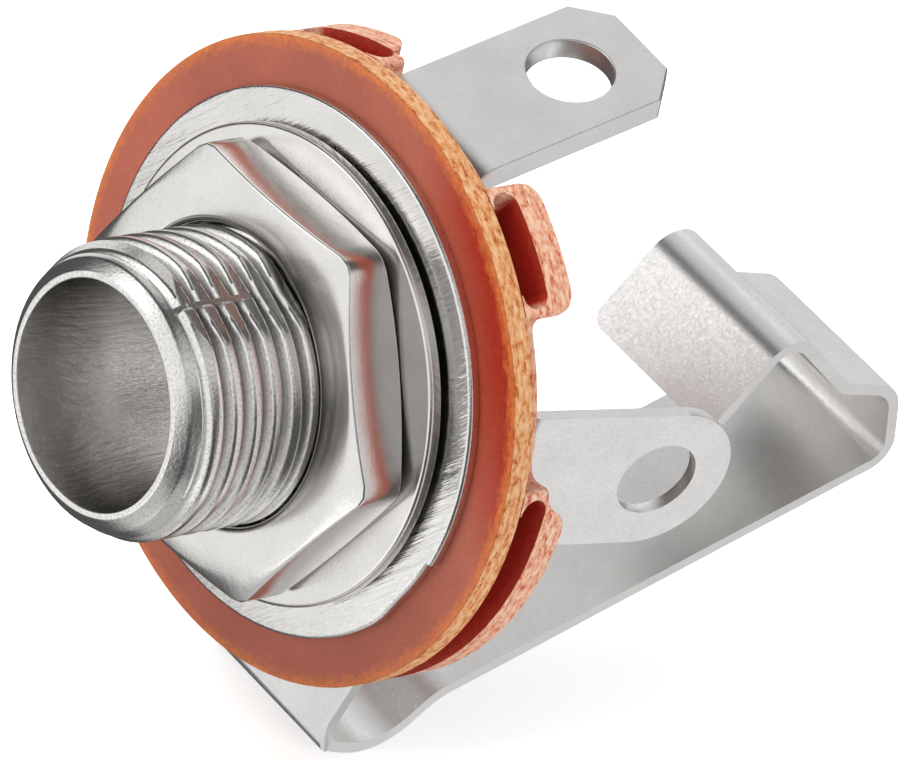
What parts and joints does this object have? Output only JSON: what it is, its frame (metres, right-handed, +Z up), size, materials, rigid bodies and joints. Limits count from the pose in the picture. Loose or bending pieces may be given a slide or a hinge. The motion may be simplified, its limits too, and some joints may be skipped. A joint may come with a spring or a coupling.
{
  "type": "quarter inch phone jack",
  "caption": "Open-frame panel jack for a quarter inch phone plug: a threaded bushing takes the plug, a bent tip spring touches its tip, and solder lugs take the wires.",
  "frame": {"origin": "on the jack's axis, in the face of the flange that meets the panel", "axes": "-Y out of the plug's mouth along the bushing, +Y towards the rear of the tip spring, +Z up, away from the spring's arm"},
  "size_m": [0.0208, 0.0346, 0.026],
  "materials": {
    "nickel_casting": "nickel-plated zinc die casting, satin",
    "nickel_steel": "nickel-plated steel, bright",
    "nickel_brass": "nickel-plated spring brass, satin",
    "vulcanised_fibre": "red vulcanised fibre, matt with a fibrous cut edge"
  },
  "bodies": {
    "stack": {"bushing": "nickel_casting", "front_insulator": "vulcanised_fibre", "keyed_insulator": "vulcanised_fibre", "sleeve_terminal": "nickel_brass", "middle_insulator": "vulcanised_fibre", "tip_terminal": "nickel_brass", "rear_insulator": "vulcanised_fibre"},
    "washer": {"panel_washer": "nickel_steel"},
    "nut": {"hex_nut": "nickel_steel"},
    "spring": {"tip_spring": "nickel_brass"}
  },
  "joints": [
    {"name": "washer_travel", "type": "slide", "parent": "stack", "child": "washer", "axis": [0, -1, 0], "range_m": [-0.00015, 0.005]},
    {"name": "nut_spin", "type": "hinge", "parent": "washer", "child": "nut", "pos_m": [0, 0, 0], "axis": [0, -1, 0], "range_deg": [-70, 2270]},
    {"name": "tip_flex", "type": "hinge", "parent": "stack", "child": "spring", "pos_m": [0, 0.00554, -0.01416], "axis": [-1, 0, 0], "range_deg": [0, 12], "stiffness_Nm_per_rad": 0.7}
  ],
  "couplings": [
    {"joint": "nut_spin", "follows": "washer_travel", "rad_per_m": 7915.8}
  ]
}
